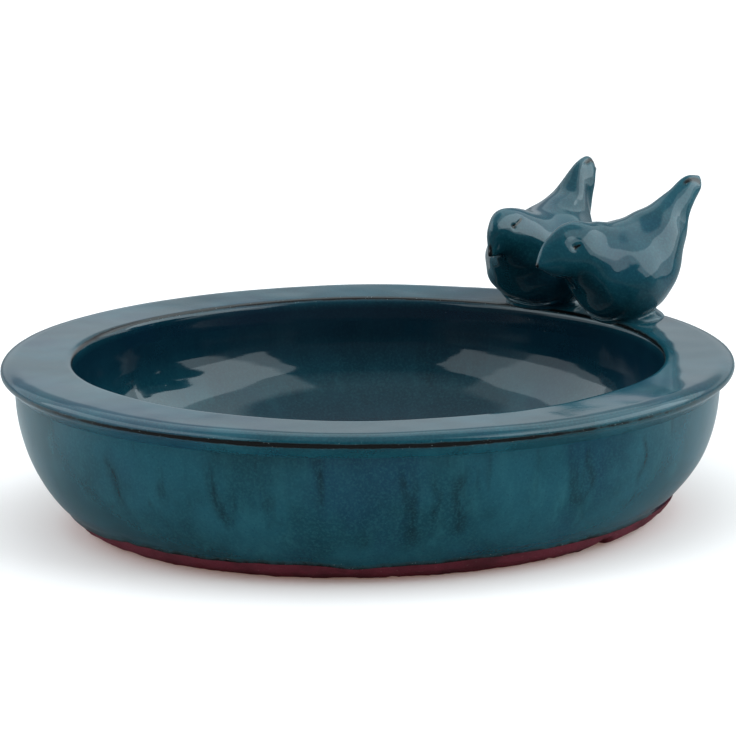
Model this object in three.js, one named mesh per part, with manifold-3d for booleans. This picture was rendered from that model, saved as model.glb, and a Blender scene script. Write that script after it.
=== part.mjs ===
// A round glazed earthenware bird bath with two pottery birds perched on its rim.
// Millimetres, +Z up. The origin is the centre of the foot, on the ground.
//
// The bath is fired as one, from pieces that are luted together while leather-hard: a foot ring,
// an outer wall, a basin inside it, a flat rim that caps both, and a bird on each of two seats.
// The rim, the basin and the birds share a frame that leans by one degree over the level foot.

import * as THREE from 'three';
import { mergeVertices } from 'three/addons/utils/BufferGeometryUtils.js';
import Module from 'manifold-3d';

const wasm = await Module();
wasm.setup();

// Overall size
const PLANE_HEIGHT = 69.4;       // middle of the leaning plane that the rim is measured from
const PLANE_LEAN = 0.0172;       // radians: its +X side is the lower one
const GAP = 0.3;                 // joint between two luted pieces
const AROUND = 64;               // facets round the bath
const SIDES = 32;                // facets round a small round piece

// Rim, with depths below the plane
const RIM_OUTER = 155;
const RIM_INNER = 125;
const RIM_BOTTOM = 12;
const CROWN_DEPTH = 1.3;         // where the flat top meets the shoulder
const SHOULDER_WIDTH = 7;        // the top rolls over to the lip's edge
const SHOULDER_DROP = 3.5;
const LIP_FACE = 1.8;            // height of the lip's upright edge
const LIP_FOOT = 150;            // below its edge the lip slopes in to this radius
const INNER_DEPTH = 0.9;         // where the flat top meets the edge towards the water
const INNER_EDGE_RADIUS = 2;

// Outer wall: an elliptic belly
const BELLY_CENTRE = 95;         // radius of the ellipse's centre
const BELLY_TOP = 57.3;           // height of the ellipse's centre
const BELLY_BULGE = 54;          // half axis outwards: the wall is widest at 95 + 54
const BELLY_DROP = 63;           // half axis downwards
const WALL_THICK = 8;
const CAVITY_DROP = 52;          // half axis downwards of the hollow inside the wall
const FLANGE_INNER = 102;        // the wall's turned-in bottom edge
const FLANGE_TOP = 13.8;

// Basin, also measured from the plane
const FLOOR_DEPTH = 55;
const FLOOR_FLAT = 83.2;         // radius of the flat floor
const CORNER_RADIUS = 40;        // floor to wall
const DRAFT = THREE.MathUtils.degToRad(6);
const BASIN_THICK = 7;

// Foot ring
const FOOT_HEIGHT = 7.5;
const FOOT_INNER = 104;
const FOOT_OUTER = 119.4;        // at the top of its rounded bottom edge
const FOOT_EDGE = 0.8;
const FOOT_KNEE_RADIUS = 124;    // half-way up, the outside turns steeper
const FOOT_KNEE_HEIGHT = 3.2;
const NOTCH_AZIMUTHS = [-39, 141];
const NOTCH_HEIGHT = 5.4;
const NOTCH_WIDTH = 17;

// Vent from the hollow wall to the underside
const VENT_RADIUS = 3;
const VENT_AZIMUTH = 90;

// Birds
const SEAT_LENGTH = 26;
const SEAT_WIDTH = 34;
const SEAT_HEIGHT = 2;
const SEAT_TAPER = 0.86;
const SEAT_FORWARD = 2;          // the seat is this much nearer the water than the bird's origin
const BIRD_RING = 20;            // points round a bird's body
const BIRD_SAG = 0.25;           // how much wider a bird is low down than high up

// Each bird faces the middle of the bath, apart from its turn. Its sections run from the beak to
// the tail: X from its place on the rim towards the water, Z above the plane.
const BIRDS = [
  {
    name: 'front_bird',
    azimuth: 36.2,
    turn: 1,
    radius: 140.4,
    sections: [
      { name: 'beak tip',  back: [52, 26.4],    belly: [51.6, 25.2],  half: 0.8 },
      { name: 'beak root', back: [46, 36.6],    belly: [41.4, 20],    half: 5 },
      { name: 'head',      back: [33.8, 42.8],  belly: [30.7, 15.6],  half: 10.4 },
      { name: 'nape',      back: [19.4, 41.4],  belly: [20, 0.8],     half: 16.4 },
      { name: 'back',      back: [4.5, 40.4],   belly: [6.4, -2.8],   half: 22.4 },
      { name: 'rump',      back: [-14.4, 45.2], belly: [-9.6, 2.8],   half: 17.6 },
      { name: 'tail root', back: [-23.2, 50.2], belly: [-22.4, 17],   half: 9.2 },
      { name: 'tail',      back: [-31.4, 55.4], belly: [-29, 35.6],   half: 5.6 },
      { name: 'tail tip',  back: [-39, 54.4],   belly: [-37.4, 47.6], half: 2.6 },
    ],
  },
  {
    name: 'rear_bird',
    azimuth: 56,
    turn: 2,
    radius: 140.9,
    sections: [
      { name: 'beak tip',  back: [49.8, 27],    belly: [49.6, 25.6],  half: 0.8 },
      { name: 'beak root', back: [46.2, 41],    belly: [39.6, 23.4],  half: 5.2 },
      { name: 'head',      back: [35.4, 44.6],  belly: [29.6, 13],    half: 10.6 },
      { name: 'nape',      back: [16, 40.6],    belly: [20, 1.8],     half: 20 },
      { name: 'back',      back: [2.2, 40.8],   belly: [7.6, -3.2],   half: 23.2 },
      { name: 'rump',      back: [-14, 45.4],   belly: [-12, -0.8],   half: 15.8 },
      { name: 'tail root', back: [-23.4, 53.4], belly: [-22.2, 18.2], half: 7.6 },
      { name: 'tail',      back: [-33.2, 56.2], belly: [-28.2, 37],   half: 5.8 },
      { name: 'tail tip',  back: [-38.4, 52.6], belly: [-38.4, 48.6], half: 2.2 },
    ],
  },
];

const GLAZE = { color: 0x1f5562, roughness: 0.16, metalness: 0 };
const GLAZE_BIRD = { color: 0x2a5f6c, roughness: 0.14, metalness: 0 };
const BARE_CLAY = { color: 0x55222e, roughness: 0.85, metalness: 0 };

// ---------- shared geometry ----------

function arc(cx, cy, rx, ry, from, to, steps) {
  const points = [];
  for (let i = 0; i <= steps; i++) {
    const a = THREE.MathUtils.degToRad(from + ((to - from) * i) / steps);
    points.push(new THREE.Vector2(cx + rx * Math.cos(a), cy + ry * Math.sin(a)));
  }
  return points;
}

// A profile of (radius, height) points, anticlockwise, turned about Z.
function turned(points) {
  const geometry = new THREE.LatheGeometry(points, AROUND);
  geometry.rotateX(Math.PI / 2);
  return weld(geometry);
}

function turnedRing(points) {
  return turned([...points, points[0].clone()]);
}

function weld(geometry) {
  geometry.deleteAttribute('normal');
  geometry.deleteAttribute('uv');
  return mergeVertices(geometry, 1e-4);
}

function toManifold(geometry) {
  return new wasm.Manifold(new wasm.Mesh({
    numProp: 3,
    vertProperties: new Float32Array(geometry.attributes.position.array),
    triVerts: new Uint32Array(geometry.index.array),
  }));
}

function fromManifold(solid) {
  const mesh = solid.getMesh();
  const geometry = new THREE.BufferGeometry();
  geometry.setAttribute('position', new THREE.BufferAttribute(mesh.vertProperties, 3));
  geometry.setIndex(new THREE.BufferAttribute(mesh.triVerts, 1));
  return geometry;
}

function cut(geometry, ...tools) {
  let solid = toManifold(geometry);
  for (const tool of tools) {
    solid = solid.subtract(toManifold(weld(tool)));
  }
  return fromManifold(solid);
}

function piece(name, geometry, look) {
  geometry.computeVertexNormals();
  const mesh = new THREE.Mesh(geometry, new THREE.MeshStandardMaterial(look));
  mesh.name = name;
  return mesh;
}

// ---------- the leaning frame ----------

const leaning = new THREE.Group();
leaning.position.z = PLANE_HEIGHT;
leaning.rotation.y = PLANE_LEAN;
leaning.updateMatrix();

// ---------- basin ----------

// The basin's wall and floor surface, from the floor's middle out and up to height top.
// It stands grow outside the water surface.
function basinSurface(grow, top) {
  const radius = CORNER_RADIUS + grow;
  const centreZ = CORNER_RADIUS - FLOOR_DEPTH;
  const corner = arc(FLOOR_FLAT, centreZ, radius, radius, -90, -THREE.MathUtils.radToDeg(DRAFT), 7);
  const knee = corner[corner.length - 1];
  const brim = new THREE.Vector2(knee.x + (top - knee.y) * Math.tan(DRAFT), top);
  return [new THREE.Vector2(0, centreZ - radius), ...corner, brim];
}

function basin() {
  const top = -RIM_BOTTOM - GAP;
  const outside = basinSurface(BASIN_THICK, top);
  const inside = basinSurface(0, top).reverse();
  return piece('basin', turned([...outside, ...inside]), GLAZE);
}

// ---------- outer wall ----------

// The angle at which an ellipse about the belly's centre, with half axis drop, reaches height z.
function angleAt(z, drop) {
  return -THREE.MathUtils.radToDeg(Math.asin((BELLY_TOP - z) / drop));
}

function bellyRadius(z) {
  return BELLY_CENTRE + BELLY_BULGE * Math.cos(THREE.MathUtils.degToRad(angleAt(z, BELLY_DROP)));
}

function outerWall() {
  const bottom = FOOT_HEIGHT + GAP;
  const inner = BELLY_BULGE - WALL_THICK;
  const profile = [
    new THREE.Vector2(FLANGE_INNER, bottom),
    ...arc(BELLY_CENTRE, BELLY_TOP, BELLY_BULGE, BELLY_DROP, angleAt(bottom, BELLY_DROP), 0, 9),
    new THREE.Vector2(BELLY_CENTRE + BELLY_BULGE, PLANE_HEIGHT),
    new THREE.Vector2(BELLY_CENTRE + inner, PLANE_HEIGHT),
    ...arc(BELLY_CENTRE, BELLY_TOP, inner, CAVITY_DROP, 0, angleAt(FLANGE_TOP, CAVITY_DROP), 7),
    new THREE.Vector2(FLANGE_INNER, FLANGE_TOP),
  ];
  return piece('outer_wall', cut(turnedRing(profile), basinSpace(), rimSpace(), vent()), GLAZE);
}

// The room that the basin takes up, with the joint round it.
function basinSpace() {
  const surface = basinSurface(BASIN_THICK + GAP, 0);
  const space = turned([...surface, new THREE.Vector2(0, 0)]);
  return space.applyMatrix4(leaning.matrix);
}

// Everything above the rim's underside.
function rimSpace() {
  const width = 3 * RIM_OUTER;
  const space = new THREE.BoxGeometry(width, width, 2 * RIM_BOTTOM);
  space.translate(0, 0, -GAP);
  return space.applyMatrix4(leaning.matrix);
}

function vent() {
  const hole = new THREE.CylinderGeometry(VENT_RADIUS, VENT_RADIUS, BELLY_TOP, SIDES);
  hole.rotateX(Math.PI / 2);
  const a = THREE.MathUtils.degToRad(VENT_AZIMUTH);
  return hole.translate(FLANGE_INNER * Math.cos(a), FLANGE_INNER * Math.sin(a), 0);
}

// ---------- rim ----------

function rimRing() {
  const innerBottom = RIM_INNER - RIM_BOTTOM * Math.tan(DRAFT);
  const crown = RIM_OUTER - SHOULDER_WIDTH;
  const lipEdge = -CROWN_DEPTH - SHOULDER_DROP;
  const edge = INNER_EDGE_RADIUS;
  const profile = [
    new THREE.Vector2(innerBottom, -RIM_BOTTOM),
    new THREE.Vector2(LIP_FOOT, -RIM_BOTTOM),
    new THREE.Vector2(RIM_OUTER, lipEdge - LIP_FACE),
    ...arc(crown, lipEdge, SHOULDER_WIDTH, SHOULDER_DROP, 0, 90, 6),
    ...arc(RIM_INNER + edge, -INNER_DEPTH - edge, edge, edge, 90, 180, 3),
  ];
  return turnedRing(profile);
}

// ---------- foot ring ----------

function footRing() {
  const profile = [
    new THREE.Vector2(FOOT_INNER + FOOT_EDGE, 0),
    new THREE.Vector2(FOOT_OUTER - 2 * FOOT_EDGE, 0),
    new THREE.Vector2(FOOT_OUTER, FOOT_EDGE),
    new THREE.Vector2(FOOT_KNEE_RADIUS, FOOT_KNEE_HEIGHT),
    new THREE.Vector2(bellyRadius(FOOT_HEIGHT), FOOT_HEIGHT),
    new THREE.Vector2(FOOT_INNER, FOOT_HEIGHT),
    new THREE.Vector2(FOOT_INNER, FOOT_EDGE),
  ];
  return piece('foot_ring', cut(turnedRing(profile), ...NOTCH_AZIMUTHS.map(notch)), BARE_CLAY);
}

// A round bar lying across the ring, just low enough to leave an arch of the notch's size.
function notch(azimuth) {
  const radius = (NOTCH_HEIGHT ** 2 + (NOTCH_WIDTH / 2) ** 2) / (2 * NOTCH_HEIGHT);
  const bar = new THREE.CylinderGeometry(radius, radius, 4 * (FOOT_OUTER - FOOT_INNER), SIDES);
  bar.rotateZ(Math.PI / 2);
  bar.translate(FOOT_INNER, 0, NOTCH_HEIGHT - radius);
  return bar.rotateZ(THREE.MathUtils.degToRad(azimuth));
}

// ---------- birds ----------

function smoothed(points, steps) {
  return new THREE.SplineCurve(points).getPoints(steps);
}

// The body is a skin over rings, each standing on a line from the belly to the back.
function birdBody(sections) {
  const steps = 2 * (sections.length - 1);
  const backs = smoothed(sections.map((s) => new THREE.Vector2(...s.back)), steps);
  const bellies = smoothed(sections.map((s) => new THREE.Vector2(...s.belly)), steps);
  const halves = smoothed(sections.map((s, i) => new THREE.Vector2(i, s.half)), steps);
  const positions = [];
  backs.forEach((back, i) => {
    const middle = back.clone().add(bellies[i]).multiplyScalar(0.5);
    const reach = back.clone().sub(middle);
    for (let j = 0; j < BIRD_RING; j++) {
      const a = (2 * Math.PI * j) / BIRD_RING;
      const up = Math.cos(a);
      const side = halves[i].y * Math.sin(a) * (1 - BIRD_SAG * up);
      positions.push(middle.x + reach.x * up, side, middle.y + reach.y * up);
    }
  });
  return skin(positions, backs.length);
}

function skin(positions, rings) {
  const index = [];
  for (let i = 0; i < rings - 1; i++) {
    for (let j = 0; j < BIRD_RING; j++) {
      const a = i * BIRD_RING + j;
      const b = i * BIRD_RING + ((j + 1) % BIRD_RING);
      index.push(a, b, b + BIRD_RING, a, b + BIRD_RING, a + BIRD_RING);
    }
  }
  const last = (rings - 1) * BIRD_RING;
  for (let j = 1; j < BIRD_RING - 1; j++) {
    index.push(0, j + 1, j);
    index.push(last, last + j, last + j + 1);
  }
  const geometry = new THREE.BufferGeometry();
  geometry.setAttribute('position', new THREE.Float32BufferAttribute(positions, 3));
  geometry.setIndex(index);
  return geometry;
}

// Everything below the bird's flat base.
function belowBase() {
  const size = RIM_OUTER;
  const block = new THREE.BoxGeometry(size, size, size);
  return block.translate(0, 0, SEAT_HEIGHT + 2 * GAP - size / 2);
}

function bird(name, sections) {
  return piece(name, cut(birdBody(sections), belowBase()), GLAZE_BIRD);
}

// A low oval pad with sloping sides, bedded on the rim.
function seat(name, radius) {
  const height = SEAT_HEIGHT + 2 * (CROWN_DEPTH + SHOULDER_DROP);
  const pad = new THREE.CylinderGeometry(SEAT_TAPER, 1, height, SIDES);
  pad.rotateX(Math.PI / 2);
  pad.scale(SEAT_LENGTH / 2, SEAT_WIDTH / 2, 1);
  pad.translate(SEAT_FORWARD, 0, GAP + SEAT_HEIGHT - height / 2);
  const bed = rimRing().translate(radius, 0, GAP);
  return piece(`${name}_seat`, cut(weld(pad), bed), GLAZE_BIRD);
}

// A bird and its seat, facing the middle of the bath.
function perched({ name, azimuth, turn, radius, sections }) {
  const a = THREE.MathUtils.degToRad(azimuth);
  const perch = new THREE.Group();
  perch.position.set(radius * Math.cos(a), radius * Math.sin(a), 0);
  perch.rotation.z = a + Math.PI;
  const figure = bird(name, sections);
  figure.rotation.z = THREE.MathUtils.degToRad(turn);
  perch.add(seat(name, radius), figure);
  return perch;
}

// ---------- assembly ----------

leaning.add(piece('rim', rimRing(), GLAZE), basin(), ...BIRDS.map(perched));

const birdBath = new THREE.Group();
birdBath.add(footRing(), outerWall(), leaning);

export default birdBath;
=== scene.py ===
"""Looks of a glazed earthenware bird bath with two pottery birds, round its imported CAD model.

Metres, +Z up, in the part's own frame. The bath is one surface turned about its axis, from the
middle of the basin's floor over the rim and down the outer wall to the glaze line, and it is then
split into the CAD model's pieces. The rim, the basin and the birds lean with the CAD model.
"""

import math

import bpy
import numpy as np
from mathutils import Matrix, Vector


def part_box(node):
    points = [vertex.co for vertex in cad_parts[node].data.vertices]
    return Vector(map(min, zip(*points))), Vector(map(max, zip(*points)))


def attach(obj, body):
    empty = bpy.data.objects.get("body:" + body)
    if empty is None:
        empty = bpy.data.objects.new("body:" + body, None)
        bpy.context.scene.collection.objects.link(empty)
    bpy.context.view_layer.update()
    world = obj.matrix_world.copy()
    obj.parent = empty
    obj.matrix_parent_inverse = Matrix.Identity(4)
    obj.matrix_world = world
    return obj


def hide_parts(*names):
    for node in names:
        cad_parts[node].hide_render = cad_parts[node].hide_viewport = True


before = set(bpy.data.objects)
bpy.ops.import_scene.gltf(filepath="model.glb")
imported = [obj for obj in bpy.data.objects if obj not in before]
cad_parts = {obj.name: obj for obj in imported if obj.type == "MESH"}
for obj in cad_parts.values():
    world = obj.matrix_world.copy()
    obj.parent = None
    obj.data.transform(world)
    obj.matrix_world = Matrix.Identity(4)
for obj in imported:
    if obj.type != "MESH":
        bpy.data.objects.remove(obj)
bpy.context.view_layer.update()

# ---------- sizes in metres, as in the CAD model ----------

RIM_OUTER = (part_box("rim")[1].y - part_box("rim")[0].y) / 2
WALL_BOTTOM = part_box("outer_wall")[0].z
PLANE_HEIGHT = 0.0694    # middle of the leaning plane that the rim is measured from
PLANE_LEAN = 0.0172

RIM_INNER = 0.125
RIM_BOTTOM = 0.012
CROWN_DEPTH = 0.0013     # where the flat top meets the shoulder
SHOULDER_WIDTH = 0.007
SHOULDER_DROP = 0.0035
LIP_FACE = 0.0018        # height of the lip's upright edge
LIP_FOOT = 0.150
INNER_DEPTH = 0.0009
FAR_DIP = 0.0015         # how much deeper that is on the far side
INNER_EDGE_RADIUS = 0.002
INNER_EDGE_DROP = 0.0027

BELLY_CENTRE = 0.095
BELLY_TOP = 0.0573
BELLY_BULGE = 0.054
BELLY_DROP = 0.063
WALL_THICK = 0.008
CAVITY_DROP = 0.052
FLANGE_INNER = 0.102
FLANGE_TOP = 0.0138

FLOOR_DEPTH = 0.055
FLOOR_FLAT = 0.0832
CORNER_RADIUS = 0.040
DRAFT = math.radians(6)
BASIN_THICK = 0.007

FOOT_INNER = 0.104
FOOT_OUTER = 0.1194
FOOT_EDGE = 0.0008
FOOT_KNEE = (0.124, 0.0032)
NOTCH_AZIMUTHS = (-39, 141)
NOTCH_HEIGHT = 0.0054
NOTCH_WIDTH = 0.017

VENT_RADIUS = 0.003
VENT_AZIMUTH = 90

SEAT_LENGTH = 0.026
SEAT_WIDTH = 0.034
SEAT_FORWARD = 0.002     # the seat is this much nearer the water than the bird's origin

# ---------- fineness of the visual meshes ----------

COLUMNS = 420            # round the bath
FINE_COLUMNS = 28        # extra ones at each notch and at the vent
ROW_STEP = 0.0009        # along the profile
SOFTENING = 4            # passes that round the profile's corners
VOXEL = 0.00055          # of a bird's remesh

# ---------- the glaze and clay, as linear colours ----------

GLAZE_DEEP = (0.0042, 0.040, 0.056, 1)
GLAZE_MID = (0.009, 0.067, 0.093, 1)
GLAZE_PALE = (0.022, 0.115, 0.135, 1)
GLAZE_BLUE = (0.004, 0.030, 0.062, 1)
# Painted shade inside the bowl, and glaze pooled on its floor.
GLAZE_POOL_AND_SHADE = (0.0015, 0.008, 0.019, 1)
GLAZE_DRIP = (0.0020, 0.015, 0.022, 1)
GLAZE_BREAK = (0.0035, 0.0030, 0.0030, 1)
# Painted glints: pale sparkles along the glaze's edges.
GLAZE_GLINT = (0.30, 0.38, 0.38, 1)
GLAZE_THIN = (0.030, 0.034, 0.030, 1)
CLAY_RED = (0.160, 0.022, 0.040, 1)
CLAY_DARK = (0.085, 0.013, 0.022, 1)
CLAY_SPECK = (0.30, 0.20, 0.17, 1)

# How much of the dark pool colour shows inside the bowl, by depth below the plane: painted shade high on
# the wall, and glaze pooled on the floor.
POOL_AND_SHADE_DEPTHS = (INNER_DEPTH, 0.007, 0.018, 0.038, 0.050, 0.055)
POOL_AND_SHADE_AMOUNTS = (0, 0.80, 0.75, 0.10, 0.50, 1.0)

# Dark drips in the wall's glaze: azimuth and width in degrees, and the heights they run between.
# Four azimuths were worked out from drips in the photo; the other places are guesses.
DRIPS = (
    (-115.3, 1.0, 0.028, 0.052), (-98, 0.7, 0.036, 0.054), (-84, 1.3, 0.020, 0.050),
    (-79.5, 0.6, 0.030, 0.046), (-75.4, 1.1, 0.022, 0.048), (-52.7, 0.9, 0.030, 0.052),
    (-40, 0.6, 0.034, 0.050), (-136, 0.8, 0.030, 0.050), (20, 1.2, 0.022, 0.050),
    (75, 0.9, 0.028, 0.052), (130, 1.4, 0.020, 0.050), (165, 0.8, 0.030, 0.052),
)

# Unevenness of the handmade bath, which the CAD model doesn't have.
SQUASH_DEPTH = 0.0022    # how far the wall's lower right is pressed in
SQUASH_HEIGHT = 0.010
SQUASH_SPREAD = 0.011
SQUASH_DEGREES = 30      # on either side of azimuth 0
GLAZE_SAG = 0.0012       # where the glaze hangs lowest over the foot
GLAZE_GAP = 0.0010       # where it stops short of the foot
RING_SPACING = 0.0041    # between the potter's rings inside the bowl
RING_RELIEF = 0.00004


# ---------- small geometry helpers ----------

def arc(centre, radii, start, end):
    """Points (radius, height) on an ellipse, from start to end degrees."""
    steps = max(4, int(abs(end - start) / 3))
    angles = np.radians(np.linspace(start, end, steps + 1))
    return np.column_stack([centre[0] + radii[0] * np.cos(angles), centre[1] + radii[1] * np.sin(angles)])


def resampled(points, step):
    """The same polyline with points at even distances of about one step."""
    points = np.array(points, float)
    along = np.concatenate([[0], np.cumsum(np.hypot(*np.diff(points, axis=0).T))])
    places = np.linspace(0, along[-1], max(2, round(along[-1] / step)) + 1)
    return np.column_stack([np.interp(places, along, points[:, i]) for i in range(2)])


def softened(points, passes):
    """The polyline with its corners rounded; its ends stay."""
    points = points.copy()
    for _ in range(passes):
        points[1:-1] += 0.25 * (points[:-2] - 2 * points[1:-1] + points[2:])
    return points


def ripple(points, wavelength, seed, waves=24):
    """A smooth random field over points, of about -2 to 2, the same on every run."""
    rng = np.random.default_rng(seed)
    directions = rng.normal(size=(waves, 3))
    directions /= np.linalg.norm(directions, axis=1)[:, None]
    numbers = 2 * math.pi / wavelength * rng.uniform(0.7, 1.4, waves)
    phases = rng.uniform(0, 2 * math.pi, waves)
    swell = np.sin(points.reshape(-1, 3) @ (directions * numbers[:, None]).T + phases)
    return (swell.sum(axis=1) / math.sqrt(waves / 2)).reshape(points.shape[:-1])


def bell(distance, width):
    return np.exp(-((distance / width) ** 2))


def smooth_step(value, low, high):
    t = np.clip((value - low) / (high - low), 0, 1)
    return t * t * (3 - 2 * t)


def grid_normals(grid):
    """Unit normals of a grid of points whose columns go round."""
    along = np.gradient(grid, axis=0)
    around = np.roll(grid, -1, axis=1) - np.roll(grid, 1, axis=1)
    normals = np.cross(around, along)
    return normals / np.maximum(np.linalg.norm(normals, axis=2), 1e-12)[:, :, None]


def add_mesh(name, points, faces):
    mesh = bpy.data.meshes.new(name)
    mesh.from_pydata(points.tolist(), [], faces)
    mesh.validate()
    mesh.shade_smooth()
    made = bpy.data.objects.new(name, mesh)
    bpy.context.scene.collection.objects.link(made)
    return made


def skin_faces(rows, columns, closed):
    """Quads over a grid, going round its columns and, if closed, back from its last row to its first."""
    i = np.arange(rows if closed else rows - 1)[:, None]
    j = np.arange(columns)[None, :]
    below = (i + 1) % rows
    beside = (j + 1) % columns
    here, under = i * columns, below * columns
    return np.stack([here + j, here + beside, under + beside, under + j], axis=2).reshape(-1, 4).tolist()


def fan_faces(row, columns, tip, outward):
    """Triangles from a row of the grid to one tip point."""
    start = row * columns
    ring = [(start + j, start + (j + 1) % columns, tip) for j in range(columns)]
    return ring if outward else [face[::-1] for face in ring]


def paint(made, name, values):
    """Stores one number for each vertex, for the materials to read."""
    layer = made.data.attributes.new(name, "FLOAT", "POINT")
    layer.data.foreach_set("value", np.ascontiguousarray(values, dtype=np.float32).ravel())


def crease(made, rows, columns):
    """Marks the edges along whole rows of the grid as sharp."""
    sharp = set(rows)
    for edge in made.data.edges:
        a, b = edge.vertices
        if a // columns == b // columns and a // columns in sharp:
            edge.use_edge_sharp = True


# ---------- the bath's azimuths ----------

def bath_azimuths():
    """Even columns, with finer ones where a notch or the vent needs them."""
    even = np.linspace(0, 2 * math.pi, COLUMNS, endpoint=False)
    half = 0.6 * NOTCH_WIDTH / FOOT_INNER
    fine = [np.linspace(-half, half, FINE_COLUMNS) + math.radians(a) for a in NOTCH_AZIMUTHS]
    half = 1.2 * VENT_RADIUS / FLANGE_INNER
    fine.append(np.linspace(-half, half, FINE_COLUMNS) + math.radians(VENT_AZIMUTH))
    every = np.sort(np.concatenate([even, *fine]) % (2 * math.pi))
    clear = np.diff(every, append=every[0] + 2 * math.pi) > 1e-4
    return every[clear]


AZIMUTHS = bath_azimuths()
LEANING = Matrix.Translation((0, 0, PLANE_HEIGHT)) @ Matrix.Rotation(PLANE_LEAN, 4, "Y")


def turned(profile):
    """The grid that a profile of (radius, height) sweeps round the axis."""
    radius, height = np.array(profile).T[:, :, None]
    across, away = radius * np.cos(AZIMUTHS), radius * np.sin(AZIMUTHS)
    return np.stack(np.broadcast_arrays(across, away, height), axis=2)


def leaned(points):
    turn = np.array(LEANING.to_3x3())
    return points @ turn.T + np.array(LEANING.translation)


def facing(azimuth_degrees, width_degrees):
    """1 at one azimuth, fading to 0 at width on both sides."""
    away = (np.degrees(AZIMUTHS) - azimuth_degrees + 180) % 360 - 180
    return bell(away, width_degrees)


# ---------- profiles ----------

def belly_radius(height):
    drop = np.clip((BELLY_TOP - height) / BELLY_DROP, 0, 1)
    return BELLY_CENTRE + BELLY_BULGE * np.sqrt(1 - drop ** 2)


def basin_profile(grow):
    """From the middle of the floor to the basin's brim, standing grow outside the water surface."""
    radius = CORNER_RADIUS + grow
    centre = (FLOOR_FLAT, CORNER_RADIUS - FLOOR_DEPTH)
    corner = arc(centre, (radius, radius), -90, -math.degrees(DRAFT))
    knee = corner[-1]
    brim = (knee[0] + (-RIM_BOTTOM - knee[1]) * math.tan(DRAFT), -RIM_BOTTOM)
    return np.vstack([(ROW_STEP, centre[1] - radius), corner, brim])


def rim_profile():
    """From the top of the basin over the rim to the foot of the lip, where the outer wall starts."""
    start = (RIM_INNER - RIM_BOTTOM * math.tan(DRAFT), -RIM_BOTTOM)
    drop = INNER_DEPTH + INNER_EDGE_DROP
    brim = start[0] + (RIM_BOTTOM - drop) * math.tan(DRAFT)
    top = RIM_INNER + INNER_EDGE_RADIUS
    rolled = arc((top, -drop), (top - brim, INNER_EDGE_DROP), 180, 90)
    lip_edge = -CROWN_DEPTH - SHOULDER_DROP
    shoulder = arc((RIM_OUTER - SHOULDER_WIDTH, lip_edge), (SHOULDER_WIDTH, SHOULDER_DROP), 90, 0)
    foot = (LIP_FOOT, 0.0008 - RIM_BOTTOM)
    return np.vstack([start, rolled, shoulder, (RIM_OUTER, lip_edge - LIP_FACE), foot,
                      (belly_radius(BELLY_TOP), -RIM_BOTTOM)])


def glaze_line():
    """The height of the glaze's lower edge at each azimuth."""
    ring = turned([(BELLY_CENTRE, 0)])[0]
    height = WALL_BOTTOM + 0.00035 * ripple(ring, 0.055, 11) + 0.00018 * ripple(ring, 0.012, 12)
    return height - GLAZE_SAG * facing(-93, 5) + GLAZE_GAP * facing(-141, 1.6)


# ---------- the bath's one glazed surface ----------

def wall_rows(top_row):
    """Rows from the lip's foot down the belly to the glaze line."""
    steps = round((PLANE_HEIGHT - RIM_BOTTOM - WALL_BOTTOM) / ROW_STEP)
    down = 1 - np.cos(np.linspace(0, math.pi / 2, steps + 1)[:, None] ** 1.15 / (math.pi / 2) ** 0.15)
    down = 0.35 * down + 0.65 * np.linspace(0, 1, steps + 1)[:, None]
    height = top_row[None, :, 2] + (glaze_line() - top_row[None, :, 2]) * down
    squash = facing(0, SQUASH_DEGREES) * bell(height - SQUASH_HEIGHT, SQUASH_SPREAD)
    radius = belly_radius(height) - SQUASH_DEPTH * squash
    rows = np.stack([radius * np.cos(AZIMUTHS), radius * np.sin(AZIMUTHS), height], axis=2)
    return rows + (top_row - rows[0]) * ((1 - down) ** 2)[:, :, None]


def throwing_rings(depth, seed):
    """The potter's rings in the basin's wall, by depth below the rim."""
    rng = np.random.default_rng(seed)
    rings = np.zeros_like(depth)
    for place in np.arange(0.018, FLOOR_DEPTH, RING_SPACING):
        rings += rng.uniform(0.2, 1) * bell(depth - place - rng.uniform(-0.001, 0.001), 0.0011)
    return RING_RELIEF * rings


def glazed_surface():
    """The whole glazed grid, the rows where the rim starts and ends, each vertex's worn edge with painted
    shade under the lip, and its painted shade and pooled glaze inside the bowl.
    """
    basin = softened(resampled(basin_profile(0), ROW_STEP), SOFTENING)
    rim = softened(resampled(rim_profile(), ROW_STEP * 0.6), SOFTENING)
    rim_start = len(basin) - 1
    upper = turned(np.vstack([basin, rim[1:]]))
    upper[:, :, 2] -= far_dip(upper)
    lowered = leaned(upper)
    wall = wall_rows(lowered[-1])
    rim_end = len(upper) - 1
    grid = np.vstack([lowered, wall[1:]])
    push = 0.00016 * ripple(grid, 0.090, 1) + 0.000015 * ripple(grid, 0.020, 2)
    push[:rim_start + 1] += throwing_rings(-upper[:rim_start + 1, :, 2], 3)
    push[rim_end:] += glaze_roll(len(grid) - rim_end)
    grid = grid + push[:, :, None] * grid_normals(grid)
    return grid, rim_start, rim_end, worn_and_shaded_edges(upper, len(grid)), pooled_and_shaded(upper)


def far_dip(upper):
    """How much lower the rim's top falls towards the water, on the bath's far side."""
    radius = np.hypot(upper[:, :, 0], upper[:, :, 1])
    across = np.clip((RIM_OUTER - SHOULDER_WIDTH - radius) / (RIM_OUTER - SHOULDER_WIDTH - RIM_INNER), 0, 1)
    near_top = smooth_step(upper[:, :, 2], -RIM_BOTTOM, -0.004)
    return FAR_DIP * smooth_step(np.sin(AZIMUTHS), -0.2, 1) * across * near_top


def glaze_roll(rows):
    """The fat bead in which the glaze stopped, just above its lower edge, curling in at the end."""
    above = np.arange(rows)[::-1, None] * ROW_STEP
    return 0.00035 * bell(above - 0.0012, 0.0016) - 0.0006 * bell(above, 0.0005)


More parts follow.
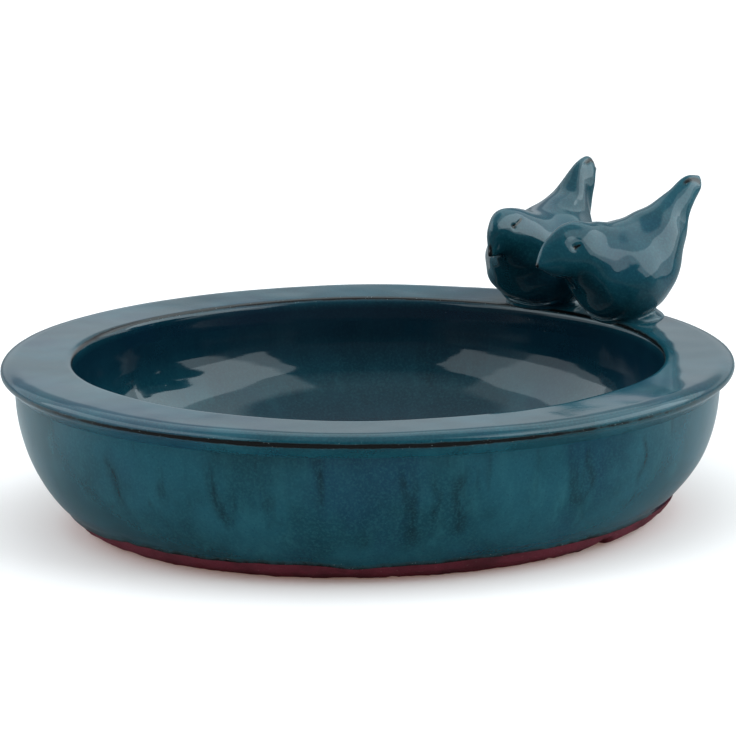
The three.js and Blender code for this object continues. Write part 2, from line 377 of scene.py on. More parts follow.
def pooled_and_shaded(upper):
    """How dark the inside of the bowl is painted: painted shade, darkest high on its wall and palest at its
    foot, and thick glaze pooled on the floor.
    """
    depth = -upper[:, :, 2]
    inside = np.hypot(upper[:, :, 0], upper[:, :, 1]) < RIM_INNER + INNER_EDGE_RADIUS
    return inside * np.interp(depth, POOL_AND_SHADE_DEPTHS, POOL_AND_SHADE_AMOUNTS)


def worn_and_shaded_edges(upper, rows):
    """1 where the glaze breaks over an edge: along the lip, with painted shade under the lip, most on the
    side the photo shows, and thinly along the inner edge."""
    worn_and_shade = np.zeros((rows, upper.shape[1]))
    radius = np.hypot(upper[:, :, 0], upper[:, :, 1])
    depth = -upper[:, :, 2]
    lip_middle = CROWN_DEPTH + SHOULDER_DROP + 0.6 * LIP_FACE
    # Painted shade: the lip's dark line is made stronger towards azimuth -100, on the room's dim side.
    shade_towards_front = 0.48 + 0.52 * facing(-100, 42)
    lip = shade_towards_front * (radius > RIM_OUTER - 0.003) * bell(depth - lip_middle, 0.00125)
    inner = (radius < RIM_INNER + 0.003) * bell(depth - INNER_DEPTH - 0.0016, 0.0009)
    worn_and_shade[:len(upper)] = lip + 0.75 * inner * (depth > 0.001)
    above = np.arange(rows)[::-1, None] * ROW_STEP
    worn_and_shade[len(upper):] = 0.62 * bell(above, 0.0014)[len(upper):]
    return worn_and_shade


def drips(grid):
    """1 along the dark drips in the wall's glaze."""
    height = grid[:, :, 2]
    wander = 0.35 * ripple(grid, 0.018, 31)
    fallen = np.zeros(height.shape)
    for azimuth, width, low, high in DRIPS:
        away = (np.degrees(AZIMUTHS) - azimuth + 180) % 360 - 180 + wander
        length = smooth_step(height, low - 0.006, low + 0.004)
        length = length * smooth_step(-height, -high - 0.006, -high + 0.004)
        fallen = np.maximum(fallen, bell(away, width) * length)
    return fallen


# ---------- the bath's pieces ----------

def add_rim(grid, worn_and_shade, pool_and_shade, start, end):
    rows = grid[start:end + 1]
    count, columns = rows.shape[:2]
    rim = add_mesh("bath_rim", rows.reshape(-1, 3), skin_faces(count, columns, closed=True))
    crease(rim, (0, count - 1), columns)
    paint(rim, "worn_and_shade", worn_and_shade[start:end + 1])
    paint(rim, "pool_and_shade", pool_and_shade[start:end + 1])
    return rim


def add_basin(grid, worn_and_shade, pool_and_shade, start):
    inside = grid[:start + 1]
    under = leaned(turned(softened(resampled(basin_profile(BASIN_THICK), 0.002), SOFTENING)[::-1]))
    under += 0.00015 * ripple(under, 0.03, 5)[:, :, None] * np.array([0, 0, 1])
    rows = np.vstack([inside, under])
    count, columns = rows.shape[:2]
    tips = np.array([inside[0].mean(axis=0), under[-1].mean(axis=0)])
    faces = skin_faces(count, columns, closed=False)
    faces += fan_faces(0, columns, count * columns, outward=False)
    faces += fan_faces(count - 1, columns, count * columns + 1, outward=True)
    basin = add_mesh("bath_basin", np.vstack([rows.reshape(-1, 3), tips]), faces)
    crease(basin, (start, start + 1), columns)
    unpainted = np.zeros(len(under) * columns + 2)
    paint(basin, "worn_and_shade", np.concatenate([worn_and_shade[:start + 1].ravel(), unpainted]))
    paint(basin, "pool_and_shade", np.concatenate([pool_and_shade[:start + 1].ravel(), unpainted]))
    bare = start * columns
    last_inside = (start + 1) * columns
    for face in basin.data.polygons:
        if min(face.vertices) >= bare and max(face.vertices) >= last_inside:
            face.material_index = 1
    return basin


def vent_edge():
    """The radius of the flange's inner edge, with the vent's half round bite in it."""
    offset = FLANGE_INNER * np.sin(AZIMUTHS - math.radians(VENT_AZIMUTH))
    near = np.abs((np.degrees(AZIMUTHS) - VENT_AZIMUTH + 180) % 360 - 180) < 10
    bite = np.sqrt(np.maximum(VENT_RADIUS ** 2 - offset ** 2, 0))
    return FLANGE_INNER + np.where(near, bite, 0)


def ring_at(radius, height):
    """One row of the grid, from a radius and a height that may change round the bath."""
    across, away = radius * np.cos(AZIMUTHS), radius * np.sin(AZIMUTHS)
    return np.stack(np.broadcast_arrays(across, away, height), axis=1)


def add_wall(grid, worn_and_shade, end):
    outside = grid[end:]
    edge = vent_edge()
    start = -math.degrees(math.asin((BELLY_TOP - FLANGE_TOP) / CAVITY_DROP))
    cavity = arc((BELLY_CENTRE, BELLY_TOP), (BELLY_BULGE - WALL_THICK, CAVITY_DROP), start, 0)
    lining = [ring_at(FOOT_KNEE[0], WALL_BOTTOM), ring_at(edge, WALL_BOTTOM), ring_at(edge, FLANGE_TOP)]
    lining += [ring_at(radius, height) for radius, height in cavity]
    lining.append(ring_at(cavity[-1][0], outside[0, :, 2]))
    rows = np.vstack([outside, np.array(lining)])
    count, columns = rows.shape[:2]
    wall = add_mesh("bath_outer_wall", rows.reshape(-1, 3), skin_faces(count, columns, closed=True))
    last = len(outside) - 1
    crease(wall, (0, last, last + 1, last + 2, last + 3, count - 1), columns)
    unpainted = np.zeros(len(lining) * columns)
    paint(wall, "worn_and_shade", np.concatenate([worn_and_shade[end:].ravel(), unpainted]))
    paint(wall, "drips", np.concatenate([drips(outside).ravel(), unpainted]))
    for face in wall.data.polygons:
        if max(face.vertices) >= len(outside) * columns:
            face.material_index = 1
    return wall


def notch_roof(grid):
    """The height of the arch over each point of the foot, or 0 away from the notches."""
    radius = (NOTCH_HEIGHT ** 2 + (NOTCH_WIDTH / 2) ** 2) / (2 * NOTCH_HEIGHT)
    roof = np.zeros(grid.shape[:2])
    for azimuth in np.radians(NOTCH_AZIMUTHS):
        along = grid[:, :, 0] * math.cos(azimuth) + grid[:, :, 1] * math.sin(azimuth)
        across = grid[:, :, 1] * math.cos(azimuth) - grid[:, :, 0] * math.sin(azimuth)
        arch = np.sqrt(np.maximum(radius ** 2 - across ** 2, 0)) + NOTCH_HEIGHT - radius
        roof = np.maximum(roof, np.where(along > 0, arch, 0))
    return roof


def add_foot():
    outline = np.array([
        (FOOT_INNER, WALL_BOTTOM - ROW_STEP), (FOOT_INNER, FOOT_EDGE), (FOOT_INNER + FOOT_EDGE, 0),
        (FOOT_OUTER - 2 * FOOT_EDGE, 0), (FOOT_OUTER, FOOT_EDGE), FOOT_KNEE,
        (belly_radius(WALL_BOTTOM) - 0.0004, WALL_BOTTOM),
        (belly_radius(WALL_BOTTOM) - 0.0002, WALL_BOTTOM + 0.0008),
    ])
    rows = turned(softened(resampled(outline, 0.0007), 2))
    grain = 0.00012 * ripple(rows, 0.02, 21) + 0.00007 * ripple(rows, 0.0042, 22)
    chips = -0.0006 * smooth_step(ripple(rows, 0.011, 23), 1.5, 2.6)
    rows = rows + (grain + chips)[:, :, None] * grid_normals(rows)
    rows[:, :, 2] = np.maximum(rows[:, :, 2], np.maximum(notch_roof(rows), 0))
    count, columns = rows.shape[:2]
    foot = add_mesh("bath_foot_ring", rows.reshape(-1, 3), skin_faces(count, columns, closed=True))
    crease(foot, (0, count - 1), columns)
    return foot


# ---------- the birds ----------

# Each bird's sections run from the beak to the tail, as in the CAD model: back and belly (x, z)
# and half width. x runs from its place on the rim towards the water, and z is above the plane.
# These numbers, and each bird's azimuth, turn and radius, were not chosen by hand: a program fitted
# them to the birds' outlines in the photo, and they were then rounded. Some were changed
# afterwards, mostly at the tips of the beaks and tails.
BIRDS = {
    "front_bird": {
        "azimuth": 36.2, "turn": 1, "radius": 0.1404, "seed": 40, "eye": (0.0362, 0.0335), "brow": 0.002,
        "sections": (
            ((0.0520, 0.0264), (0.0516, 0.0252), 0.0008),
            ((0.0460, 0.0366), (0.0414, 0.0200), 0.0050),
            ((0.0338, 0.0428), (0.0307, 0.0156), 0.0104),
            ((0.0194, 0.0414), (0.0200, 0.0008), 0.0164),
            ((0.0045, 0.0404), (0.0064, -0.0028), 0.0224),
            ((-0.0144, 0.0452), (-0.0096, 0.0028), 0.0176),
            ((-0.0232, 0.0502), (-0.0224, 0.0170), 0.0092),
            ((-0.0314, 0.0554), (-0.0290, 0.0356), 0.0056),
            ((-0.0390, 0.0544), (-0.0374, 0.0476), 0.0026),
        ),
    },
    "rear_bird": {
        "azimuth": 56, "turn": 2, "radius": 0.1409, "seed": 60, "eye": (0.0387, 0.0378), "brow": 0.006,
        "sections": (
            ((0.0498, 0.0270), (0.0496, 0.0256), 0.0008),
            ((0.0462, 0.0410), (0.0396, 0.0234), 0.0052),
            ((0.0354, 0.0446), (0.0296, 0.0130), 0.0106),
            ((0.0160, 0.0406), (0.0200, 0.0018), 0.0200),
            ((0.0022, 0.0408), (0.0076, -0.0032), 0.0232),
            ((-0.0140, 0.0454), (-0.0120, -0.0008), 0.0158),
            ((-0.0234, 0.0534), (-0.0222, 0.0182), 0.0076),
            ((-0.0332, 0.0562), (-0.0282, 0.0370), 0.0058),
            ((-0.0384, 0.0526), (-0.0384, 0.0486), 0.0022),
        ),
    },
}
BIRD_SAG = 0.25          # how much wider a bird is low down than high up


def smooth_curve(values, count):
    """Catmull-Rom through the rows of values, at count even parameters."""
    values = np.array(values, float)
    padded = np.vstack([2 * values[0] - values[1], values, 2 * values[-1] - values[-2]])
    t = np.linspace(0, len(values) - 1, count)
    i = np.minimum(t.astype(int), len(values) - 2)
    u = (t - i)[:, None]
    a, b, c, d = (padded[i + k] for k in range(4))
    return b + 0.5 * u * (c - a + u * (2 * a - 5 * b + 4 * c - d + u * (3 * (b - c) + d - a)))


def bird_body(name, sections):
    """A skin over elliptic rings, each standing on a line from the belly to the back."""
    curve = smooth_curve([(*back, *belly, half) for back, belly, half in sections], 97)
    angles = np.linspace(0, 2 * math.pi, 64, endpoint=False)
    back, belly, half = curve[:, 0:2], curve[:, 2:4], np.maximum(curve[:, 4], 0.0004)
    middle, reach = (back + belly) / 2, (back - belly) / 2
    x = middle[:, 0:1] + reach[:, 0:1] * np.cos(angles)
    z = middle[:, 1:2] + reach[:, 1:2] * np.cos(angles)
    y = half[:, None] * np.sin(angles) * (1 - BIRD_SAG * np.cos(angles))
    rings = np.stack([x, y, z], axis=2)
    count, columns = rings.shape[:2]
    tips = np.array([rings[0].mean(axis=0), rings[-1].mean(axis=0)])
    faces = skin_faces(count, columns, closed=False)
    faces += fan_faces(0, columns, count * columns, outward=False)
    faces += fan_faces(count - 1, columns, count * columns + 1, outward=True)
    return add_mesh(name, np.vstack([rings.reshape(-1, 3), tips]), faces)


def bird_seat(name):
    """An oval stem from inside the rim up into the bird."""
    angles = np.linspace(0, 2 * math.pi, 96, endpoint=False)
    rings = []
    for height, size in ((-0.0032, 0.98), (-0.0010, 0.95), (0.0010, 0.87), (0.004, 0.80), (0.009, 0.78)):
        x = SEAT_FORWARD + size * SEAT_LENGTH / 2 * np.cos(angles)
        y = size * SEAT_WIDTH / 2 * np.sin(angles)
        rings.append(np.column_stack([x, y, np.full_like(x, height)]))
    columns = len(angles)
    tips = np.array([rings[0].mean(axis=0), rings[-1].mean(axis=0)])
    faces = skin_faces(len(rings), columns, closed=False)
    faces += fan_faces(0, columns, len(rings) * columns, outward=False)
    faces += fan_faces(len(rings) - 1, columns, len(rings) * columns + 1, outward=True)
    return add_mesh(name, np.vstack([*rings, tips]), faces)


def join(first, second):
    bpy.ops.object.select_all(action="DESELECT")
    first.select_set(True)
    second.select_set(True)
    bpy.context.view_layer.objects.active = first
    bpy.ops.object.join()
    return first


def outward(made):
    """Turns the faces of each closed part of a mesh outwards."""
    bpy.ops.object.select_all(action="DESELECT")
    bpy.context.view_layer.objects.active = made
    made.select_set(True)
    bpy.ops.object.mode_set(mode="EDIT")
    bpy.ops.mesh.select_all(action="SELECT")
    bpy.ops.mesh.normals_make_consistent(inside=False)
    bpy.ops.object.mode_set(mode="OBJECT")


def apply_modifiers(made):
    """Replaces the object's mesh with what its modifiers make of it."""
    bpy.context.view_layer.update()
    evaluated = made.evaluated_get(bpy.context.evaluated_depsgraph_get())
    mesh = bpy.data.meshes.new_from_object(evaluated)
    made.modifiers.clear()
    made.data = mesh


def merged_skin(made):
    """One skin over overlapping solids, with soft fillets where they meet."""
    remesh = made.modifiers.new("remesh", "REMESH")
    remesh.mode = "VOXEL"
    remesh.voxel_size = VOXEL
    smooth = made.modifiers.new("smooth", "SMOOTH")
    smooth.factor = 0.5
    smooth.iterations = 14
    apply_modifiers(made)


def mesh_points(made):
    points = np.empty(len(made.data.vertices) * 3, np.float32)
    made.data.vertices.foreach_get("co", points)
    normals = np.empty_like(points)
    made.data.vertices.foreach_get("normal", normals)
    return points.reshape(-1, 3).astype(float), normals.reshape(-1, 3).astype(float)


def rim_below(points, perch):
    """The height of the rim's top under points in the frame of a bird at radius perch."""
    radius = np.hypot(perch - points[:, 0], points[:, 1])
    crown = RIM_OUTER - SHOULDER_WIDTH
    slope = (INNER_DEPTH - CROWN_DEPTH) / (crown - RIM_INNER - INNER_EDGE_RADIUS)
    over_edge = np.maximum(RIM_INNER + INNER_EDGE_RADIUS - radius, 0)
    return -CROWN_DEPTH - slope * np.clip(crown - radius, 0, None) - over_edge ** 2 / INNER_EDGE_RADIUS


def stroke(x, z, start, end):
    """The distance of points from the line between two points, side on."""
    line = np.subtract(end, start)
    along = np.clip(((x - start[0]) * line[0] + (z - start[1]) * line[1]) / line.dot(line), 0, 1)
    return np.hypot(x - start[0] - along * line[0], z - start[1] - along * line[1])


def sculpt_bird(made, seed, perch, eye, brow):
    """Spreads the seat onto the rim, presses in the eyes and the tail crease, and paints worn edges."""
    points, normals = mesh_points(made)
    x, y, z = points.T
    height = z - rim_below(points, perch)
    spread = 0.0022 * smooth_step(0.0050 - height, 0, 0.0050) ** 2
    sideways = normals * (1, 1, 0)
    sideways /= np.maximum(np.linalg.norm(sideways, axis=1), 0.05)[:, None]
    flank = smooth_step(np.abs(y), 0.003, 0.005)
    pit = flank * bell(np.hypot(x - eye[0], z - eye[1]), 0.0011)
    scratch = flank * bell(stroke(x, z, eye, (eye[0] - brow, eye[1] + 0.4 * brow)), 0.0007)
    tail = smooth_step(-x, 0.024, 0.031) * smooth_step(normals[:, 2], 0.0, 0.3) * bell(y - 0.0022, 0.0012)
    beak = smooth_step(x, x.max() - 0.0014, x.max() - 0.0002)
    lumps = 0.00016 * ripple(points, 0.014, seed) * smooth_step(height, 0, 0.01)
    push = lumps - 0.0007 * pit - 0.0003 * scratch - 0.0006 * tail
    points = points + push[:, None] * normals + spread[:, None] * sideways
    made.data.vertices.foreach_set("co", points.astype(np.float32).ravel())
    made.data.update()
    paint(made, "worn_and_shade", np.clip(np.maximum(0.9 * pit, 0.75 * scratch) + 0.75 * tail + 0.7 * beak, 0, 1))


def add_bird(name, azimuth, turn, radius, seed, eye, brow, sections):
    made = join(bird_body(name + "_figure", sections), bird_seat(name + "_stem"))
    outward(made)
    merged_skin(made)
    sculpt_bird(made, seed, radius, eye, brow)
    made.data.shade_smooth()
    angle = math.radians(azimuth)
    perch = Matrix.Translation((radius * math.cos(angle), radius * math.sin(angle), 0))
    heading = Matrix.Rotation(angle + math.pi + math.radians(turn), 4, "Z")
    made.data.transform(LEANING @ perch @ heading)
    return made


# ---------- node helpers ----------

def add_node(tree, kind, inputs=None, **settings):
    """A new node, whose inputs are values or other nodes' outputs."""
    made = tree.nodes.new(kind)
    for key, value in settings.items():
        setattr(made, key, value)
    for key, value in (inputs or {}).items():
        if isinstance(value, bpy.types.NodeSocket):
            tree.links.new(value, made.inputs[key])
        else:
            made.inputs[key].default_value = value
    return made


def noise(tree, place, scale, detail=2.0, roughness=0.5, stretch=(1, 1, 1)):
    moved = add_node(tree, "ShaderNodeMapping", {"Vector": place, "Scale": stretch}).outputs[0]
    inputs = {"Vector": moved, "Scale": scale, "Detail": detail, "Roughness": roughness}
    return add_node(tree, "ShaderNodeTexNoise", inputs).outputs[0]


def spots(tree, place, scale, size):
    """1 inside small round spots, some of them missing."""
    cells = add_node(tree, "ShaderNodeTexVoronoi", {"Vector": place, "Scale": scale})
    return ramp(tree, cells.outputs["Distance"], size, 0.4 * size)


def ramp(tree, value, low, high):
    """0 at low, 1 at high, smooth between."""
    inputs = {"Value": value, "From Min": low, "From Max": high}
    return add_node(tree, "ShaderNodeMapRange", inputs, interpolation_type="SMOOTHSTEP").outputs[0]


def maths(tree, operation, a, b):
    return add_node(tree, "ShaderNodeMath", {0: a, 1: b}, operation=operation).outputs[0]


def blended(tree, factor, first, second):
    made = add_node(tree, "ShaderNodeMix", {0: factor, 6: first, 7: second}, data_type="RGBA")
    return made.outputs[2]


def bumped(tree, height, distance, below=None):
    inputs = {"Height": height, "Distance": distance, "Strength": 1.0}
    if below is not None:
        inputs["Normal"] = below
    return add_node(tree, "ShaderNodeBump", inputs).outputs[0]


def new_material(name):
    material = bpy.data.materials.new(name)
    material.use_nodes = True
    tree = material.node_tree
    tree.nodes.clear()
    place = add_node(tree, "ShaderNodeTexCoord").outputs["Object"]
    shader = add_node(tree, "ShaderNodeBsdfPrincipled")
    output = add_node(tree, "ShaderNodeOutputMaterial")
    tree.links.new(shader.outputs[0], output.inputs["Surface"])
    return material, tree, place, shader


# ---------- materials ----------

def glaze(name, streakiness, seed):
    """A glossy copper-teal glaze: clouds, runs and specks over dark clay, breaking brown on edges, with
    painted shade in the bowl and under the lip, and painted glints along edges.
    """
    material, tree, place, shader = new_material(name)
    moved = {"Vector": place, "Location": (seed, 2 * seed, 0)}
    place = add_node(tree, "ShaderNodeMapping", moved).outputs[0]
    clouds = ramp(tree, noise(tree, place, 24, 3, 0.55), 0.36, 0.66)
    colour = blended(tree, clouds, GLAZE_DEEP, GLAZE_MID)
    colour = add_runs(tree, place, colour, streakiness)
    colour = add_specks(tree, place, colour)
    # Painted shade inside the bowl, and glaze pooled on its floor.
    pool_and_shade = add_node(tree, "ShaderNodeAttribute", attribute_name="pool_and_shade").outputs["Fac"]
    colour = blended(tree, pool_and_shade, colour, GLAZE_POOL_AND_SHADE)
    colour, worn_and_shade = add_break(tree, place, colour)
    tree.links.new(colour, shader.inputs["Base Color"])
    gloss = maths(tree, "MULTIPLY_ADD", noise(tree, place, 60, 2), 0.05)
    gloss.node.inputs[2].default_value = 0.045
    rough = maths(tree, "MAXIMUM", gloss, maths(tree, "MULTIPLY", worn_and_shade, 0.16))
    tree.links.new(rough, shader.inputs["Roughness"])
    shader.inputs["IOR"].default_value = 1.52
    tree.links.new(glaze_relief(tree, place), shader.inputs["Normal"])
    return material


def add_runs(tree, place, colour, streakiness):
    """Pale threads, dark drips and blue patches, from glaze that ran down while it was molten."""
    threads = ramp(tree, noise(tree, place, 170, 4, 0.65, (1, 1, 0.14)), 0.46, 0.80)
    bunches = ramp(tree, noise(tree, place, 26, 2, 0.5, (1, 1, 0.5)), 0.42, 0.66)
    threads = maths(tree, "MULTIPLY", maths(tree, "MULTIPLY", threads, bunches), 0.60 * streakiness)
    colour = blended(tree, threads, colour, GLAZE_PALE)
    dark = ramp(tree, noise(tree, place, 95, 3, 0.6, (1, 1, 0.22)), 0.56, 0.76)
    colour = blended(tree, maths(tree, "MULTIPLY", dark, 0.50 * streakiness), colour, GLAZE_DRIP)
    patches = ramp(tree, noise(tree, place, 17, 4, 0.6, (1, 1, 0.6)), 0.50, 0.66)
    colour = blended(tree, maths(tree, "MULTIPLY", patches, 0.55), colour, GLAZE_BLUE)
    fallen = add_node(tree, "ShaderNodeAttribute", attribute_name="drips").outputs["Fac"]
    torn = ramp(tree, noise(tree, place, 240, 3, 0.6, (1, 1, 0.3)), 0.25, 0.60)
    ragged = maths(tree, "MULTIPLY", fallen, torn)
    return blended(tree, maths(tree, "MULTIPLY", ragged, 0.80), colour, GLAZE_DRIP)


def add_specks(tree, place, colour):
    """A fine mottle, dark-blue specks and a few pale ones."""
    mottle = ramp(tree, noise(tree, place, 900, 2, 0.6), 0.40, 0.75)
    colour = blended(tree, maths(tree, "MULTIPLY", mottle, 0.28), colour, GLAZE_PALE)
    dark = maths(tree, "MULTIPLY", spots(tree, place, 520, 0.22), 0.55)
    colour = blended(tree, dark, colour, GLAZE_BLUE)
    pale = maths(tree, "MULTIPLY", spots(tree, place, 330, 0.10), 0.5)
    return blended(tree, pale, colour, GLAZE_PALE)


def add_break(tree, place, colour):
    """Brown-black where the glaze ran thin over an edge, with a rusty fringe and painted shade under the
    lip; dark specks and painted glints along the edges.
    """
    # This attribute holds glaze breaks and, along the lip, painted shade.
    painted = add_node(tree, "ShaderNodeAttribute", attribute_name="worn_and_shade").outputs["Fac"]
    ragged = maths(tree, "MULTIPLY_ADD", noise(tree, place, 160, 4, 0.7), 0.55)
    ragged.node.inputs[2].default_value = -0.275
    ragged = maths(tree, "ADD", painted, ragged)
    fringe = ramp(tree, ragged, 0.25, 0.55)
    colour = blended(tree, maths(tree, "MULTIPLY", fringe, 0.5), colour, GLAZE_THIN)
    worn_and_shade = ramp(tree, ragged, 0.45, 0.68)
    colour = blended(tree, worn_and_shade, colour, GLAZE_BREAK)
    edge = ramp(tree, painted, 0.04, 0.30)
    peppered = maths(tree, "MULTIPLY", maths(tree, "MULTIPLY", spots(tree, place, 800, 0.22), edge), 0.7)
    colour = blended(tree, peppered, colour, GLAZE_BREAK)
    # Painted glints: pale sparkles along the edges.
    painted_glints = maths(tree, "MULTIPLY", maths(tree, "MULTIPLY", spots(tree, place, 610, 0.11), edge), 0.8)
    return blended(tree, painted_glints, colour, GLAZE_GLINT), worn_and_shade


def glaze_relief(tree, place):
    """Orange peel, small waves and pinholes."""
    waves = bumped(tree, noise(tree, place, 60, 1), 0.00005)
    peel = bumped(tree, noise(tree, place, 420, 2), 0.000008, waves)
    pinholes = maths(tree, "SUBTRACT", 1.0, spots(tree, place, 120, 0.045))
    return bumped(tree, pinholes, 0.00006, peel)


def bare_clay():
    """Matt maroon stoneware: sandy grain, dark kiln flashes and pale grit."""
    material, tree, place, shader = new_material("bare_clay")
    flashes = ramp(tree, noise(tree, place, 45, 4, 0.6), 0.40, 0.70)
    colour = blended(tree, flashes, CLAY_RED, CLAY_DARK)
    grain = ramp(tree, noise(tree, place, 1600, 3, 0.7), 0.35, 0.75)
    colour = blended(tree, maths(tree, "MULTIPLY", grain, 0.35), colour, CLAY_DARK)
    grit = maths(tree, "MULTIPLY", spots(tree, place, 420, 0.12), 0.6)
    colour = blended(tree, grit, colour, CLAY_SPECK)
    tree.links.new(colour, shader.inputs["Base Color"])
    tree.links.new(maths(tree, "MULTIPLY_ADD", grain, 0.15), shader.inputs["Roughness"])
    shader.inputs["Roughness"].links[0].from_node.inputs[2].default_value = 0.72
    shader.inputs["Specular IOR Level"].default_value = 0.25
    relief = bumped(tree, noise(tree, place, 260, 4, 0.6), 0.00025)
    tree.links.new(bumped(tree, grain, 0.00012, relief), shader.inputs["Normal"])
    return material


# ---------- studio ----------

# The camera and the lens come from a fit to the rim, the belly and the foot in the photo.
CAMERA_HEIGHT = math.radians(12.06)   # the view's angle above the rim's plane
CAMERA_AWAY = 3.761
CAMERA_ROLL = -0.009
CAMERA_DIP = 0.0017                   # the camera aims a little below the rim's middle
LENS = 435.8

SOFTBOXES = (
    {"name": "softbox_left", "azimuth": -80, "elevation": 34, "away": 1.4, "size": (2.3, 0.80), "power": 7},
    {"name": "softbox_right", "azimuth": 80, "elevation": 32, "away": 1.5, "size": (2.2, 0.85), "power": 9},
    {"name": "overhead_fill", "azimuth": 0, "elevation": 86, "away": 2.2, "size": (3.0, 3.0), "power": 44},
)
LIGHT_TINT = (0.86, 1.0, 1.05)
WHITE_WALLS = (                       # each one's middle direction, the cosine of its spread, its colour
    ((0.0, 0.616, 0.788), 0.90, (0.80, 0.94, 0.98, 1)),
    ((0.763, 0.067, 0.643), 0.72, (1.16, 1.34, 1.40, 1)),
    ((-0.80, 0.27, 0.53), 0.72, (0.76, 0.87, 0.92, 1)),
)


def add_camera():
    data = bpy.data.cameras.new("camera")
    data.lens = LENS
    data.sensor_width = 36
    data.clip_end = 100
    camera = bpy.data.objects.new("camera", data)
    bpy.context.scene.collection.objects.link(camera)
    back = Vector((0, -math.cos(CAMERA_HEIGHT), math.sin(CAMERA_HEIGHT)))
    tilt = Matrix.Rotation(math.pi / 2 - CAMERA_HEIGHT - CAMERA_DIP, 4, "X")
    roll = Matrix.Rotation(CAMERA_ROLL, 4, "Z")
    camera.matrix_world = LEANING @ Matrix.Translation(back * CAMERA_AWAY) @ tilt @ roll
    bpy.context.scene.camera = camera


def add_softbox(name, azimuth, elevation, away, size, power):
    """A soft light, placed by its azimuth to the right of the camera and its elevation."""
    data = bpy.data.lights.new(name, "AREA")
    data.shape = "RECTANGLE"
    data.size, data.size_y = size
    data.energy = power
    data.color = LIGHT_TINT
    light = bpy.data.objects.new(name, data)
    bpy.context.scene.collection.objects.link(light)
    a, e = math.radians(azimuth), math.radians(elevation)
    direction = Vector((math.sin(a) * math.cos(e), -math.cos(a) * math.cos(e), math.sin(e)))
    light.location = direction * away
    light.rotation_euler = direction.to_track_quat("Z", "Y").to_euler()
    light.visible_camera = False
    light.visible_glossy = name.startswith("softbox")


def add_floor():
    size = 30
    corners = np.array([(-size, -size, 0), (size, -size, 0), (size, size, 0), (-size, size, 0)])
    floor = add_mesh("floor", corners, [(0, 1, 2, 3)])
    material = bpy.data.materials.new("pale_floor")
    material.use_nodes = True
    tree = material.node_tree
    tree.nodes.clear()
    matt = add_node(tree, "ShaderNodeBsdfDiffuse", {"Color": (0.90, 0.86, 0.85, 1)}).outputs[0]
    glow = add_node(tree, "ShaderNodeEmission", {"Color": (0.15, 0.10, 0.08, 1)}).outputs[0]
    pale = add_node(tree, "ShaderNodeAddShader", {0: matt, 1: glow}).outputs[0]
    place = add_node(tree, "ShaderNodeTexCoord").outputs["Object"]
    parts = add_node(tree, "ShaderNodeSeparateXYZ", {0: place})
    beside = ramp(tree, parts.outputs["Y"], -0.18, 0.06)
    beyond = ramp(tree, parts.outputs["Y"], 0.12, 0.40)
    shade = blended(tree, beside, (0.11, 0.11, 0.11, 1), (0.38, 0.38, 0.38, 1))
    shade = blended(tree, beyond, shade, (0.24, 0.24, 0.24, 1))
    dim = add_node(tree, "ShaderNodeBsdfDiffuse", {"Color": shade}).outputs[0]
    glossy = add_node(tree, "ShaderNodeLightPath").outputs["Is Glossy Ray"]
    both = add_node(tree, "ShaderNodeMixShader", {0: glossy, 1: pale, 2: dim}).outputs[0]
    add_node(tree, "ShaderNodeOutputMaterial", {"Surface": both})
    floor.data.materials.append(material)


def add_backdrop(tree, towards_back, up):
    """The room behind the white walls: pale at the back and overhead, dark on the camera's side."""
    away = ramp(tree, towards_back, -0.70, 0.10)
    lower = maths(tree, "MULTIPLY", ramp(tree, up, 0.16, -0.02), 0.48)
    upper = maths(tree, "MULTIPLY", ramp(tree, up, 0.255, 0.31), 0.50)
    dimmed = maths(tree, "MULTIPLY", away, maths(tree, "ADD", lower, upper))
    above = maths(tree, "MULTIPLY", ramp(tree, up, 0.60, 0.90), 0.55)
    pale = maths(tree, "MAXIMUM", maths(tree, "SUBTRACT", away, dimmed), above)
    return blended(tree, pale, (0.07, 0.075, 0.095, 1), (0.58, 0.62, 0.65, 1))


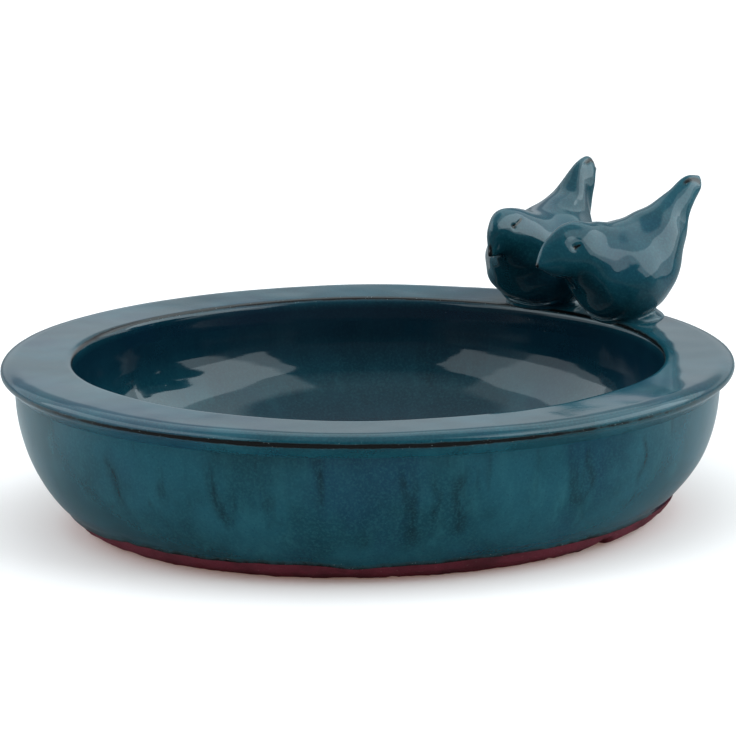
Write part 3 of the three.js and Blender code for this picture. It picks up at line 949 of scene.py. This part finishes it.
def add_world():
    """What the glaze reflects: white walls in a dim room. The camera itself sees plain white."""
    world = bpy.data.worlds.new("studio")
    bpy.context.scene.world = world
    world.use_nodes = True
    tree = world.node_tree
    tree.nodes.clear()
    direction = add_node(tree, "ShaderNodeTexCoord").outputs["Generated"]
    parts = add_node(tree, "ShaderNodeSeparateXYZ", {0: direction})
    colour = add_backdrop(tree, parts.outputs["Y"], parts.outputs["Z"])
    below_top = ramp(tree, parts.outputs["Z"], 0.90, 0.84)
    for middle, spread, shine in WHITE_WALLS:
        towards = add_node(tree, "ShaderNodeVectorMath", {0: direction, 1: middle}, operation="DOT_PRODUCT")
        cone = ramp(tree, towards.outputs["Value"], spread, spread + 0.04)
        colour = blended(tree, maths(tree, "MULTIPLY", cone, below_top), colour, shine)
    studio = add_node(tree, "ShaderNodeBackground", {"Color": colour}).outputs[0]
    pale = add_node(tree, "ShaderNodeBackground", {"Color": (1, 1, 1, 1)}).outputs[0]
    seen = add_node(tree, "ShaderNodeLightPath").outputs["Is Camera Ray"]
    both = add_node(tree, "ShaderNodeMixShader", {0: seen, 1: studio, 2: pale}).outputs[0]
    add_node(tree, "ShaderNodeOutputWorld", {"Surface": both})


# ---------- the scene ----------

def stands_for(made, node, slot, *materials):
    """Puts a finished piece in the place of its CAD node."""
    made.data.materials.clear()
    for material in materials:
        made.data.materials.append(material)
    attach(made, "root")
    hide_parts(*node)


def add_bath(clay):
    grid, rim_start, rim_end, worn_and_shade, pool_and_shade = glazed_surface()
    rim = add_rim(grid, worn_and_shade, pool_and_shade, rim_start, rim_end)
    basin = add_basin(grid, worn_and_shade, pool_and_shade, rim_start)
    wall = add_wall(grid, worn_and_shade, rim_end)
    foot = add_foot()
    stands_for(rim, ["rim"], "rim_glaze", glaze("rim_glaze", 0.35, 0.1))
    stands_for(basin, ["basin"], "basin_glaze", glaze("basin_glaze", 0.6, 0.2), clay)
    stands_for(wall, ["outer_wall"], "wall_glaze", glaze("wall_glaze", 1.0, 0.3), clay)
    stands_for(foot, ["foot_ring"], "bare_clay", clay)


def add_birds():
    bird_glaze = glaze("bird_glaze", 0.5, 0.4)
    for name, bird in BIRDS.items():
        stands_for(add_bird(name, **bird), [name, name + "_seat"], "bird_glaze", bird_glaze)


add_camera()
for softbox in SOFTBOXES:
    add_softbox(**softbox)
add_world()
add_floor()
add_bath(bare_clay())
add_birds()
bpy.context.scene.view_settings.view_transform = "Standard"
